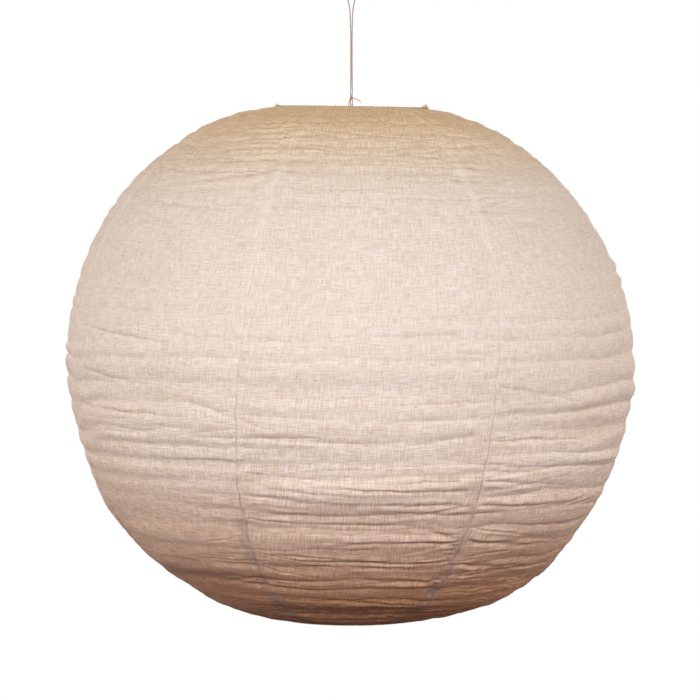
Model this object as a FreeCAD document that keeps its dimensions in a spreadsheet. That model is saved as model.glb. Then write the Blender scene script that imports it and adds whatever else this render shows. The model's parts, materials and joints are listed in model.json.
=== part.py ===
"""Round cloth lantern that hangs from a doubled twine.

A wire ring closes each end of a ballooning shade.  Seven sewn cloth gores reach
from ring to ring, and loose bamboo hoops inside keep them round.  The cloth has
no stretcher: the lower ring's weight pulls it open, and the whole shade folds
up flat towards the upper ring.

Units are millimetres and +Z is up.  The origin is the top of the twine's loop,
where a hook carries the lantern, and everything hangs below it.
"""
import FreeCAD, Part

import math
import os

from FreeCAD import Vector

SIZES = {
    # shade: outer half width and half height of the balloon before its ends are cut off,
    # the exponent of its outline (2 is an ellipse), how much flatter the ends lie than
    # that outline, and the angle at which the rings sit
    "shade_radius": 298.5,
    "shade_half_height": 281.0,
    "squareness": 2.12,
    "end_dip": 5.0,
    "end_dip_power": 12.0,
    "rim_angle": 76.0,
    # the hoops stand a little off centre, most of all in the upper half
    "lean": 1.6,
    "lean_rise": 2.4,
    "gore_edge_angle": 75.5,
    "gore_count": 7,
    "seam_gap_angle": 0.1,
    "first_seam_angle": 29.5,
    "cloth_thickness": 0.8,
    # hoops inside the cloth
    "hoop_count": 34,
    "hoop_wire": 2.0,
    "hoop_gap": 3.3,
    # end rings and the cloth bound round them
    "ring_wire": 2.5,
    "binding_gap": 0.1,
    "binding_thickness": 0.6,
    # crossbar over the upper mouth, with the eye that the twine is tied to
    "bar_wire": 2.4,
    "bar_drop": 10.0,
    "bar_shoulder": 14.0,
    "hook_gap": 0.15,
    "hook_angle": 110.0,
    "eye_radius": 4.5,
    "eye_wire": 2.2,
    # doubled twine and its knot
    "rim_below_loop": 128.0,
    "twine": 1.2,
    "twine_spacing": 1.4,
    "knot_above_rim": 13.5,
    "knot_width": 4.4,
    "knot_tall": 4.6,
    "hitch_gap": 0.3,
}


def radius_expression(angle, depth):
    """Radius of the outline at an angle, a depth under the cloth, as an expression."""
    return f"((Sizes.shade_radius - {depth}) * cos({angle}) ^ (2 / Sizes.squareness))"


def rise_expression(angle, depth):
    """Height of the outline over the shade's middle, for either half, as an expression."""
    return (
        f"((Sizes.shade_half_height - {depth}) * abs(sin({angle})) ^ (2 / Sizes.squareness)"
        f" - Sizes.end_dip * abs(sin({angle})) ^ Sizes.end_dip_power)"
    )


BINDING_RADIUS = "(Sizes.ring_wire / 2 + Sizes.binding_gap + Sizes.binding_thickness)"
HOOP_DEPTH = "(Sizes.cloth_thickness + Sizes.hoop_gap + Sizes.hoop_wire / 2)"
RING_RADIUS = radius_expression("Sizes.rim_angle", BINDING_RADIUS)
RING_HALF_SPAN = rise_expression("Sizes.rim_angle", BINDING_RADIUS)
SHADE_MIDDLE = f"(-Sizes.rim_below_loop - {RING_HALF_SPAN})"

doc = FreeCAD.newDocument("Lantern")


def make_sheet():
    """The driving dimensions, one named cell each."""
    sheet = doc.addObject("Spreadsheet::Sheet", "Sizes")
    for row, (name, value) in enumerate(SIZES.items(), start=1):
        sheet.set(f"A{row}", name)
        sheet.set(f"B{row}", str(value))
        sheet.setAlias(f"B{row}", name)
    doc.recompute()
    return sheet


sizes = make_sheet()


# ---- outline of the shade -------------------------------------------------

def outline(angle, depth):
    """Radius and height above the shade's middle at an angle up from the equator.

    depth is how far the point lies under the outer face of the cloth.
    """
    power = 2.0 / sizes.squareness
    turn = math.radians(angle)
    radius = (sizes.shade_radius - depth) * math.cos(turn) ** power
    rise = (sizes.shade_half_height - depth) * abs(math.sin(turn)) ** power
    rise -= sizes.end_dip * abs(math.sin(turn)) ** sizes.end_dip_power
    return radius, math.copysign(rise, angle)


def binding_radius():
    """Outer radius of the cloth bound round a ring's wire."""
    return sizes.ring_wire / 2 + sizes.binding_gap + sizes.binding_thickness


def ring_radius():
    """Radius of both end rings, to the middle of the wire."""
    return outline(sizes.rim_angle, binding_radius())[0]


def ring_half_span():
    """Height of the upper ring over the shade's equator."""
    return outline(sizes.rim_angle, binding_radius())[1]


def shade_middle():
    """Height of the shade's equator."""
    return -sizes.rim_below_loop - ring_half_span()


# ---- helpers --------------------------------------------------------------

def round_ring(name, radius, wire_radius, height):
    """A closed ring of round wire about Z, sized by expressions."""
    ring = doc.addObject("Part::Torus", name)
    ring.setExpression("Radius1", radius)
    ring.setExpression("Radius2", wire_radius)
    ring.setExpression("Placement.Base.z", height)
    return ring


def rounded_edges(points, corner_share=0.45):
    """Straight runs through the points, joined by tangent arcs, and the arcs' radii."""
    edges = []
    radii = []
    start = points[0]
    for before, corner, after in zip(points, points[1:], points[2:]):
        back = before - corner
        ahead = after - corner
        half_turn = (math.pi - back.getAngle(ahead)) / 2
        setback = corner_share * min(back.Length, ahead.Length)
        radius = setback / math.tan(half_turn)
        enter = corner + Vector(back).normalize() * setback
        leave = corner + Vector(ahead).normalize() * setback
        inward = (Vector(back).normalize() + Vector(ahead).normalize()).normalize()
        middle = corner + inward * (radius / math.cos(half_turn) - radius)
        edges.append(Part.LineSegment(start, enter).toShape())
        edges.append(Part.Arc(enter, middle, leave).toShape())
        radii.append(radius)
        start = leave
    edges.append(Part.LineSegment(start, points[-1]).toShape())
    return edges, radii


def sweep_round(edges, diameter):
    """A round solid along joined edges, checked against its section times its length."""
    path = Part.Wire(edges)
    first = edges[0]
    direction = first.tangentAt(first.FirstParameter)
    start = first.valueAt(first.FirstParameter)
    circle = Part.Wire(Part.makeCircle(diameter / 2, start, direction))
    solid = path.makePipeShell([circle], True, True)
    expected = math.pi * diameter ** 2 / 4 * path.Length
    print(f"  swept {path.Length:.1f} long, volume {solid.Volume / expected:.3f} of section x length")
    return solid


def tube(points, diameter):
    """A round solid along the points, with its bend radii printed."""
    edges, radii = rounded_edges(points)
    print(f"  bend radii {[round(radius, 1) for radius in radii]}")
    return sweep_round(edges, diameter)


def coded_shape(name, shape):
    """A document object for a shape that is worked out in code from the sheet."""
    piece = doc.addObject("Part::Feature", name)
    piece.Shape = shape
    return piece


# ---- twine ----------------------------------------------------------------

def knot_top():
    """Height of the flat top of the knot, where both strands leave it."""
    return -sizes.rim_below_loop + sizes.knot_above_rim


def twine_points():
    """Route of the twine: up from the knot, over the hook and down beside itself."""
    half = sizes.twine_spacing / 2
    top = -sizes.twine / 2
    foot = knot_top()
    return [
        Vector(-half, 0, foot),
        Vector(-1.5 * half, 0, foot + 4.0),
        Vector(-half, 0, foot + 11.0),
        Vector(-half, 0, -26.0),
        Vector(-4.4, 0, -11.0),
        Vector(-4.4, 0, top),
        Vector(4.4, 0, top),
        Vector(4.4, 0, -11.0),
        Vector(half, 0, -26.0),
        Vector(half, 0, foot + 13.0),
        Vector(2.0 * half, 0, foot + 5.0),
        Vector(half, 0, foot),
    ]


def make_hanging_twine():
    """One length of twine, doubled, with its bight over the hook."""
    return coded_shape("hanging_twine", tube(twine_points(), sizes.twine))


def make_twine_knot():
    """Pulled-down knot, the two legs to the hitch through the eye, and the two cut tails."""
    knot_middle = knot_top() - sizes.knot_tall / 2
    ball = Part.makeSphere(sizes.knot_width / 2)
    stretch = FreeCAD.Matrix()
    stretch.scale(1.0, 0.85, 1.12 * sizes.knot_tall / sizes.knot_width)
    ball = ball.transformGeometry(stretch)
    ball.translate(Vector(0, 0, knot_middle))
    width = 2 * sizes.knot_width
    corner = Vector(-width / 2, -width / 2, knot_middle - sizes.knot_tall / 2)
    ball = ball.common(Part.makeBox(width, width, sizes.knot_tall, corner))

    hitch_radius = (sizes.eye_wire + sizes.twine) / 2 + sizes.hitch_gap
    eye_top_wire = eye_middle() + sizes.eye_radius
    hitch = Part.makeTorus(hitch_radius, sizes.twine / 2, Vector(0, 0, eye_top_wire), Vector(1, 0, 0))

    legs = [
        [
            Vector(side * 0.7, side * 0.4, knot_middle),
            Vector(side * 1.3, side * 0.9, knot_middle - 5.0),
            Vector(side * 0.3, side * hitch_radius, eye_top_wire + 0.4),
        ]
        for side in (-1, 1)
    ]
    right_tail = [
        Vector(0.6, -0.5, knot_middle + 0.6),
        Vector(3.4, -1.2, knot_middle + 0.2),
        Vector(9.6, -2.0, knot_middle - 3.4),
    ]
    left_tail = [
        Vector(-0.6, -0.5, knot_middle - 0.4),
        Vector(-2.0, -1.4, knot_middle - 3.2),
        Vector(-3.0, -1.8, knot_middle - 8.4),
    ]
    cords = [tube(points, sizes.twine) for points in (*legs, right_tail, left_tail)]
    return coded_shape("twine_knot", ball.fuse([hitch, *cords]))


# ---- wire frame -----------------------------------------------------------

def make_end_ring(name, side):
    """Wire ring that closes one end of the shade; side is 1 above and -1 below."""
    height = f"{SHADE_MIDDLE} + {side} * {RING_HALF_SPAN}"
    return round_ring(name, RING_RADIUS, "Sizes.ring_wire / 2", height)


def make_binding(name, side):
    """Hollow roll of cloth sewn round one end ring."""
    height = f"{SHADE_MIDDLE} + {side} * {RING_HALF_SPAN}"
    outer = round_ring(name + "_outer", RING_RADIUS, BINDING_RADIUS, height)
    inner_radius = "Sizes.ring_wire / 2 + Sizes.binding_gap"
    inner = round_ring(name + "_inner", RING_RADIUS, inner_radius, height)
    roll = doc.addObject("Part::Cut", name)
    roll.Base = outer
    roll.Tool = inner
    return roll


def eye_middle():
    """Height of the middle of the eye, which stands on the crossbar."""
    return -sizes.rim_below_loop - sizes.bar_drop + sizes.eye_radius


def hook_arc(side, hook_radius):
    """Arc of a hook's wire, from its tip over the bound ring to the ring's inner side."""
    centre = Vector(side * ring_radius(), 0, -sizes.rim_below_loop)
    points = []
    for share in (1.0, 0.5, 0.0):
        turn = math.radians(sizes.hook_angle * share)
        offset = Vector(-side * math.cos(turn), 0, math.sin(turn)) * hook_radius
        points.append(centre + offset)
    return Part.Arc(*points)


def make_crossbar():
    """Wire across the upper mouth: a dropped middle with an eye, and a hook at each end.

    Each hook is bent over the top of the bound ring and stops above the cloth.
    """
    rim = -sizes.rim_below_loop
    hook_radius = binding_radius() + sizes.hook_gap + sizes.bar_wire / 2
    inside = ring_radius() - hook_radius
    low = rim - sizes.bar_drop
    run = [
        Vector(-inside, 0, rim),
        Vector(-inside, 0, rim - sizes.bar_drop / 2),
        Vector(-inside + sizes.bar_shoulder, 0, low),
        Vector(inside - sizes.bar_shoulder, 0, low),
        Vector(inside, 0, rim - sizes.bar_drop / 2),
        Vector(inside, 0, rim),
    ]
    middle_edges, radii = rounded_edges(run)
    print(f"  crossbar bend radii {[round(radius, 1) for radius in radii]}")
    left_hook = hook_arc(-1, hook_radius).toShape()
    right_hook = hook_arc(1, hook_radius)
    right_hook.reverse()
    bar = sweep_round([left_hook] + middle_edges + [right_hook.toShape()], sizes.bar_wire)
    eye = Part.makeTorus(sizes.eye_radius, sizes.eye_wire / 2, Vector(0, 0, eye_middle()),
                         Vector(0, 1, 0))
    return coded_shape("crossbar", bar.fuse(eye))


# ---- hoops and cloth ------------------------------------------------------

def make_hoop(number):
    """One loose bamboo hoop; number 1 is next to the upper ring."""
    angle = f"(Sizes.rim_angle * (1 - 2 * {number} / (Sizes.hoop_count + 1)))"
    side = 1 if 2 * number < sizes.hoop_count + 1 else -1
    rise = f"({side} * {rise_expression(angle, HOOP_DEPTH)})"
    share = f"({rise} / {RING_HALF_SPAN})"
    hoop = round_ring(f"hoop_{number:02d}", radius_expression(angle, HOOP_DEPTH),
                      "Sizes.hoop_wire / 2", f"{SHADE_MIDDLE} + {rise}")
    lean = f"-Sizes.lean * (1 + Sizes.lean_rise * {share}) * sqrt(1 - {share} ^ 2)"
    hoop.setExpression("Placement.Base.x", lean)
    return hoop


def gore_edge(depth, steps=24):
    """Smooth line down the cloth in the plane of the axis, a depth under its face."""
    points = []
    for step in range(steps + 1):
        radius, rise = outline(sizes.gore_edge_angle * (1 - 2 * step / steps), depth)
        points.append(Vector(radius, 0, shade_middle() + rise))
    curve = Part.BSplineCurve()
    curve.interpolate(points)
    return curve.toShape()


def make_gore(number):
    """One leaf-shaped panel of cloth between two seams, as a thin curved shell."""
    outer = gore_edge(0.0)
    inner = gore_edge(sizes.cloth_thickness)
    upper = Part.LineSegment(outer.Vertexes[0].Point, inner.Vertexes[0].Point).toShape()
    lower = Part.LineSegment(inner.Vertexes[-1].Point, outer.Vertexes[-1].Point).toShape()
    section = Part.Face(Part.Wire([outer, lower, inner, upper]))
    width = 360.0 / sizes.gore_count
    start = sizes.first_seam_angle - 90.0 + (number - 1) * width + sizes.seam_gap_angle / 2
    axis = Vector(0, 0, 1)
    section.rotate(Vector(0, 0, 0), axis, start)
    gore = section.revolve(Vector(0, 0, 0), axis, width - sizes.seam_gap_angle)
    return coded_shape(f"gore_{number}", gore)


# ---- assembly -------------------------------------------------------------

def make_parts():
    """Every separate piece of the lantern, in order from the hook down."""
    pieces = [
        make_hanging_twine(),
        make_twine_knot(),
        make_crossbar(),
        make_end_ring("upper_ring", 1),
        make_binding("upper_binding", 1),
        make_end_ring("lower_ring", -1),
        make_binding("lower_binding", -1),
    ]
    pieces += [make_hoop(number) for number in range(1, int(sizes.hoop_count) + 1)]
    pieces += [make_gore(number) for number in range(1, int(sizes.gore_count) + 1)]
    return pieces


def check(pieces):
    """Stop if the document or any piece failed to build."""
    for item in doc.Objects:
        if "Invalid" in item.State or "Error" in item.State:
            raise RuntimeError(f"{item.Label} failed: {item.State}")
    for piece in pieces:
        shape = piece.Shape
        if shape.isNull() or not shape.isValid() or len(shape.Solids) != 1:
            raise RuntimeError(f"{piece.Label} is not one valid solid")


def export(pieces):
    """Write one STEP file for each piece, named after it."""
    os.makedirs("parts", exist_ok=True)
    for piece in pieces:
        piece.Shape.exportStep(f"parts/{piece.Label}.step")
        box = piece.Shape.BoundBox
        print(f"{piece.Label}: z {box.ZMin:.1f} to {box.ZMax:.1f}, radius {box.XMax:.1f},"
              f" volume {piece.Shape.Volume:.0f}")


all_pieces = make_parts()
doc.recompute()
check(all_pieces)
export(all_pieces)
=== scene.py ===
"""Looks of a round linen lantern that hangs from a doubled twine.

Everything is in metres in the CAD frame: +Z up, the hook at the origin and the
viewer towards -Y.  Azimuths run from the viewer's direction towards +X.
"""
import json
import math

import bpy
import numpy as np
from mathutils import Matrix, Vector

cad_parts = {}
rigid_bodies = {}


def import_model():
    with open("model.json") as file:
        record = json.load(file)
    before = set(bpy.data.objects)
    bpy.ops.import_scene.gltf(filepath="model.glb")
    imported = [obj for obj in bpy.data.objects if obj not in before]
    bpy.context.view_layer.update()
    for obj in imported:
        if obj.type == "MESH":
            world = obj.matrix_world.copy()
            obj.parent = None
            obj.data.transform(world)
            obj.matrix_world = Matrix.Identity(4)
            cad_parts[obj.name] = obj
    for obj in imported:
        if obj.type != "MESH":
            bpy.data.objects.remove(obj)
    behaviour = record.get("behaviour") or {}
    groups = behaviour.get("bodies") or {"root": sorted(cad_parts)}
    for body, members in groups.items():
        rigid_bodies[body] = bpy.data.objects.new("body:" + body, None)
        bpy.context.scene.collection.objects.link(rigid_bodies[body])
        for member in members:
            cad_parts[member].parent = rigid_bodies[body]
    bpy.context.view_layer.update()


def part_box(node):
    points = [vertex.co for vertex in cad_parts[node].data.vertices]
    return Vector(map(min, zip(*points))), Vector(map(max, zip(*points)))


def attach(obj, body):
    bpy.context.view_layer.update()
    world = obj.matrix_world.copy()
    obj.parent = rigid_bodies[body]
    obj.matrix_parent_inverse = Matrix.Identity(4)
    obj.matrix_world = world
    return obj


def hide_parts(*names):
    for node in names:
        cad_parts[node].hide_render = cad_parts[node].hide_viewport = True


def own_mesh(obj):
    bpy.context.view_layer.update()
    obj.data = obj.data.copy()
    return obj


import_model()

# ---- sizes read from the frame ----

MM = 0.001
FULL_TURN = 2 * math.pi
ring_low, ring_high = (Vector(corner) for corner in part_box("upper_ring"))
base_low, base_high = (Vector(corner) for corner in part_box("lower_ring"))
RIM_Z = (ring_low.z + ring_high.z) / 2
BASE_Z = (base_low.z + base_high.z) / 2
MIDDLE_Z = (RIM_Z + BASE_Z) / 2
RING_WIRE = ring_high.z - ring_low.z
RING_RADIUS = ring_high.x - RING_WIRE / 2

# ---- the shade's outline, as in part.py ----

SHADE_RADIUS = 298.5 * MM
SHADE_HALF_HEIGHT = 281 * MM
SQUARENESS = 2.12
END_DIP = 5 * MM
END_DIP_POWER = 12
RIM_ANGLE = math.radians(76.0)
GORE_COUNT = 7
FIRST_SEAM = math.radians(29.5)
SEAM_TWIST = math.radians(5.0)
HOOP_COUNT = 34
CLOTH = 0.5 * MM
DEPTH_AT_HOOP = 3.2 * MM
DEPTH_BETWEEN = 6.0 * MM

GORE_ROWS = 640
GORE_COLUMNS = 72
# how much closer together a gore's rows are low down
ROW_CROWDING = 0.09
# the cloth runs a little under the upper ring and stops just outside the lower ring's wire
TUCKED_IN = math.radians(0.3)
CUT_SHORT = math.radians(0.2)
# near both rings the cloth is held close to the outline
HELD_ANGLE = math.radians(5.0)
RIM_SINK = 0.35 * MM
# strip of turned-in cloth behind each gore's last edge
ALLOWANCE_END = math.radians(73.0)
ALLOWANCE_SHARES = np.array([0.955, 0.966, 0.977, 0.988, 0.999])
ALLOWANCE_DEPTH = CLOTH + 0.12 * MM

SEED = 20
SEAM_SEED = 100


def outline(angle):
    """Radius and height above the equator of the cloth's outer face."""
    power = 2.0 / SQUARENESS
    radius = SHADE_RADIUS * np.cos(angle) ** power
    rise = SHADE_HALF_HEIGHT * np.abs(np.sin(angle)) ** power
    rise = rise - END_DIP * np.abs(np.sin(angle)) ** END_DIP_POWER
    return radius, np.copysign(rise, angle)


def outline_normal(angle):
    """Outward normal of the outline, as its radial and upward shares."""
    radius, rise = outline(angle)
    out = (radius / SHADE_RADIUS) ** (SQUARENESS - 1) / SHADE_RADIUS
    up = np.copysign((np.abs(rise) / SHADE_HALF_HEIGHT) ** (SQUARENESS - 1), rise)
    up = up / SHADE_HALF_HEIGHT
    size = np.hypot(out, up)
    return out / size, up / size


def row_angles(rows):
    """Outline angles from the upper rim to the lower, closer together low down."""
    share = np.linspace(0.0, 1.0, rows + 1)
    share = share + ROW_CROWDING * np.sin(math.pi * share)
    share = (share - share[0]) / (share[-1] - share[0])
    top = RIM_ANGLE + TUCKED_IN
    bottom = -RIM_ANGLE + CUT_SHORT
    return top + (bottom - top) * share


# ---- noise and folds ----

def bump(value, centre, width):
    """A smooth bump: 1 at its centre and 0.37 a width away."""
    return np.exp(-((value - centre) / width) ** 2)


def ramp(value, start, length):
    """From 0 at start to 1 a length further on, or further back if it is negative."""
    return np.clip((value - start) / length, 0.0, 1.0)


def height_share(angle):
    """0 at the upper rim to 1 at the lower one, by outline angle."""
    return (1 - angle / RIM_ANGLE) / 2


def lattice_noise(seed, turns, rows, azimuth, share):
    """Smooth noise from -1 to 1, closed round the axis, over azimuth and a 0 to 1 share."""
    values = np.random.default_rng(seed).uniform(-1.0, 1.0, (rows + 2, turns))
    across = (azimuth / FULL_TURN * turns) % turns
    along = np.clip(share, 0.0, 0.9999) * rows
    left = np.floor(across).astype(int)
    above = np.floor(along).astype(int)
    fx = across - left
    fy = along - above
    fx = fx * fx * (3 - 2 * fx)
    fy = fy * fy * (3 - 2 * fy)
    left = left % turns
    right = (left + 1) % turns
    top = values[above, left] * (1 - fx) + values[above, right] * fx
    bottom = values[above + 1, left] * (1 - fx) + values[above + 1, right] * fx
    return top * (1 - fy) + bottom * fy


def wrapped(azimuth):
    """Azimuth brought into the half turn each side of the viewer."""
    return (azimuth + math.pi) % FULL_TURN - math.pi


def seam_azimuth(number, rise):
    """Azimuth of a seam at a height above the equator; the seams lean a little."""
    return FIRST_SEAM + number * FULL_TURN / GORE_COUNT + SEAM_TWIST * rise / SHADE_HALF_HEIGHT


def slackness(rise):
    """How loosely the cloth hangs: little cloth below pulls on the lower part."""
    share = 0.5 - rise / (2 * SHADE_HALF_HEIGHT)
    heights = [0.0, 0.08, 0.2, 0.3, 0.42, 0.5, 0.62, 0.75, 0.9, 1.0]
    slack = [0.3, 0.55, 0.5, 0.2, 0.2, 0.45, 0.8, 1.0, 0.95, 0.5]
    return np.interp(share, heights, slack)


# The longest folds on the viewer's side: azimuth from and to in degrees, height above
# the equator at each end in mm, and depth in mm.
LONG_FOLDS = [
    (-34, -4, -61, -60, 1.5), (8, 25, -69, -59, 1.7), (27, 51, -65, -67, 1.8),
    (0, 24, -30, -24, 1.0), (-22, -6, 7, 10, 0.7), (3, 22, 41, 43, 0.6),
    (14, 26, 26, 22, 0.7), (26, 41, -3, 10, 0.7), (28, 61, -8, -38, 0.8),
    (-68, -43, 2, -11, 1.0), (-43, -18, -11, -47, 1.0), (-70, -35, 47, 31, 0.9),
    (-69, -31, -37, -42, 1.1), (-66, -24, -89, -85, 1.0), (-22, 1, -96, -106, 1.4),
    (1, 23, -106, -104, 1.5), (-18, 8, -111, -121, 1.1), (12, 24, -101, -101, 1.4),
    (13, 25, -114, -114, 1.7), (28, 59, -105, -118, 1.5), (28, 60, -130, -137, 1.8),
    (-13, 24, -126, -129, 1.5), (-8, 14, -148, -149, 1.4), (11, 25, -149, -164, 1.6),
    (2, 25, -156, -160, 1.3), (-15, 24, -165, -168, 1.7), (29, 60, -169, -182, 1.7),
    (-14, 20, -186, -189, 1.5), (24, 62, -192, -203, 1.5), (-9, 22, -205, -210, 1.3),
    (-67, -21, 205, 202, 0.9), (-20, -7, 206, 200, 0.8), (-55, -20, 216, 214, 0.8),
    (4, 27, 195, 194, 0.8), (28, 48, 194, 191, 0.7), (-64, -27, 176, 165, 0.8),
    (-20, -8, 178, 175, 0.6), (8, 25, 178, 175, 0.7), (30, 50, 164, 160, 0.6),
    (-52, -21, 243, 246, 1.2), (-50, -20, 231, 236, 1.3), (-52, -22, 221, 228, 1.5),
    (-46, -21, 209, 216, 1.4), (-56, -24, 189, 199, 1.3), (-42, -24, 200, 205, 1.1),
    (-19, -2, 237, 240, 0.7), (-20, 2, 227, 229, 0.9), (-19, -4, 216, 213, 0.8),
    (33, 58, 228, 221, 0.8), (31, 55, 208, 203, 0.8), (6, 29, 221, 218, 0.7),
]
LONG_FOLD_GAIN = 1.25
LONG_FOLD_WIDTH = 2.6 * MM


def make_folds():
    """Every fold, in radians and metres.

    Each is (azimuth, rise, half length, slope, bow, bias, depth, width).
    """
    rng = np.random.default_rng(SEED)
    folds = []
    for start, end, rise_start, rise_end, depth in LONG_FOLDS:
        azimuth = math.radians((start + end) / 2)
        rise = (rise_start + rise_end) / 2 * MM
        radius = radius_at(rise)
        half_length = radius * math.radians(end - start) / 2
        slope = (rise_end - rise_start) * MM / (2 * half_length)
        bias = seam_bias(start, end, rise)
        folds.append((azimuth, rise, half_length, slope, 0.0, bias,
                      LONG_FOLD_GAIN * depth * MM, LONG_FOLD_WIDTH))
    for number in range(1, HOOP_COUNT + 1):
        hoop_rise = float(outline(RIM_ANGLE * (1 - 2 * number / (HOOP_COUNT + 1)))[1])
        for gore in range(GORE_COUNT):
            folds += hoop_folds(rng, gore, hoop_rise)
    return folds


def seam_bias(start, end, rise):
    """Which end of a fold is its deepest: -1 the first, 1 the last, 0 neither."""
    left_seam = math.degrees(seam_azimuth(-1, rise))
    right_seam = math.degrees(seam_azimuth(0, rise))
    bias = 0.0
    for seam in (left_seam, right_seam):
        if abs(start - seam) < 6:
            bias -= 1.0
        if abs(end - seam) < 6:
            bias += 1.0
    return bias


def radius_at(rise):
    """Radius of the shade at a height above the equator, or at each of many."""
    share = np.clip(np.abs(rise) / SHADE_HALF_HEIGHT, 0.0, 1.0) ** SQUARENESS
    return SHADE_RADIUS * (1 - share) ** (1 / SQUARENESS)


def hoop_folds(rng, gore, hoop_rise):
    """Random folds of one gore near one hoop, many of them running out of a seam."""
    folds = []
    radius = radius_at(hoop_rise)
    width = FULL_TURN / GORE_COUNT
    slack = float(slackness(hoop_rise))
    for attempt in range(11):
        place = rng.uniform(0.0, 1.0)
        small = attempt > 4
        length = (rng.uniform(5, 20) if small else rng.uniform(18, 75)) * MM
        length = min(length, 0.45 * width * radius)
        rise = hoop_rise + rng.normal(0.0, 7.0) * MM
        depth = slack * rng.uniform(0.35, 1.5) * (0.55 if small else 1.0) * MM
        at_seam = rng.uniform() < 0.45
        wanted = rng.uniform() < 0.30 + 0.5 * slack
        slope = rng.normal(0.0, 0.12 if at_seam else 0.05)
        bow = rng.normal(0.0, 1.2) * MM
        thickness = rng.uniform(1.0, 1.5 if small else 2.4) * MM
        if not wanted:
            continue
        if at_seam:
            side = 1 if place < 0.5 else -1
            seam = seam_azimuth(gore + (1 if side < 0 else 0), rise)
            azimuth = seam + side * (length + 4 * MM) / radius
            bias = -side
        else:
            azimuth = seam_azimuth(gore, rise) + width * (0.12 + 0.76 * place)
            bias = rng.uniform(-0.5, 0.5)
        folds.append((azimuth, rise, length, slope, bow, bias, depth, thickness))
    return folds


def calm_corner(azimuth, rise):
    """1 in the lower left of the front, where the cloth hangs smoother, 0 elsewhere."""
    degrees = np.degrees(wrapped(azimuth))
    left = ramp(degrees, -29, -12) * ramp(degrees, -125, 20)
    low = ramp(rise, -62 * MM, -45 * MM)
    return left * low


def slack_corner(azimuth, rise):
    """1 in the upper right of the front, where the cloth is slacker, 0 elsewhere."""
    degrees = np.degrees(wrapped(azimuth))
    right = ramp(degrees, 20, 12) * ramp(degrees, 58, -14)
    high = ramp(rise, 85 * MM, 40 * MM)
    return right * high


def fold_boost(level):
    """How deep the folds are at a height, against the depths given for them."""
    levels = [-250, -200, -150, -110, -30, 130, 170]
    return np.interp(level / MM, levels, [1.15, 1.0, 0.85, 0.75, 0.75, 1.0, 1.35])


def fold_relief(folds, azimuth, rise, arc_scale):
    """Height of the cloth over its smooth outline from all the folds, and how creased it is.

    A fold is a sharp valley between two rounded shoulders, fading to its ends.
    """
    relief = np.zeros_like(azimuth)
    crease = np.zeros_like(azimuth)
    radius = radius_at(rise)
    height = 0.5 - rise / (2 * SHADE_HALF_HEIGHT)
    wander = lattice_noise(SEED + 7, 90, 60, azimuth, height)
    wander += 0.55 * lattice_noise(SEED + 8, 230, 130, azimuth, height)
    level_here = rise + wander * MM
    uneven = 1.0 + 0.45 * lattice_noise(SEED + 9, 150, 70, azimuth, height)
    uneven *= 1.0 - 0.88 * calm_corner(azimuth, rise) + 0.6 * slack_corner(azimuth, rise)
    for centre, level, half_length, slope, bow, bias, depth, width in folds:
        reach = 6 * width + abs(bow) + abs(slope) * half_length + 1.6 * MM
        rows = np.flatnonzero(np.abs(rise[:, 0] - level) < reach)
        if rows.size == 0:
            continue
        part = slice(rows[0], rows[-1] + 1)
        across = wrapped(azimuth[part] - centre) * radius[part] / half_length
        if np.abs(across).min() > 1.0:
            continue
        inside = np.clip(across, -1.0, 1.0)
        fade = (1.0 + inside) ** (0.8 + 0.6 * bias) * (1.0 - inside) ** (0.8 - 0.6 * bias)
        fade = fade / (1.0 + 0.75 * abs(bias))
        line = level + slope * inside * half_length + bow * inside * inside
        offset = (level_here[part] - line) * arc_scale[part]
        soft = np.sqrt(offset * offset + (0.30 * width) ** 2)
        valley = -np.exp(-soft / (0.55 * width))
        shoulder = 0.5 * bump(soft, 1.9 * width, 1.3 * width)
        strength = fade * uneven[part] * depth * fold_boost(level)
        relief[part] += strength * (1.45 * valley + shoulder)
        crease[part] += strength / (2.0 * MM) * bump(offset, 0.15 * width, 0.42 * width)
    return relief, np.clip(crease, 0.0, 1.0)


def belly_relief(azimuth, angle, rise):
    """The cloth's small bellies between the hoops, which wander and differ in size."""
    share = height_share(angle)
    wander = 0.34 * lattice_noise(SEED + 1, 9, 30, azimuth, share)
    wander += 0.18 * lattice_noise(SEED + 2, 31, 34, azimuth, share)
    wander += 0.05 * lattice_noise(SEED + 10, 120, 60, azimuth, share)
    hoops = share * (HOOP_COUNT + 1) + wander
    belly = np.abs(np.sin(math.pi * hoops)) ** 0.8
    size = 0.75 + 0.65 * lattice_noise(SEED + 3, 17, 36, azimuth, share)
    slack = slackness(rise)
    side = np.sin(azimuth) ** 2 * bump(rise / MM, -60, 80)
    side = side * np.where(np.sin(azimuth) < 0, 3.0, 1.1)
    calm = 1.0 - 0.8 * calm_corner(azimuth, rise) + 0.7 * slack_corner(azimuth, rise)
    scallop = np.clip(np.sin(azimuth), 0, 1) ** 4 * bump(rise / MM, 80, 90)
    relief = (belly - 0.68) * size * (0.95 + slack) * (1 + side) * calm
    return (relief + 1.5 * scallop * size * (belly - 0.3)) * MM


def profile_relief(azimuth, rise):
    """Where the whole shade hangs in or out from its plain outline."""
    level = rise / MM
    left = np.clip(-np.sin(azimuth), 0.0, 1.0) ** 2
    shoulder = 2.5 * bump(level, 249, 18)
    upper = -1.8 * bump(level, 140, 75)
    middle = -2.4 * bump(level, -88, 42)
    lower = 2.2 * bump(level, -236, 32)
    left_waist = -2.4 * left * bump(level, -60, 55)
    return (shoulder + upper + middle + lower + left_waist) * MM


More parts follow.
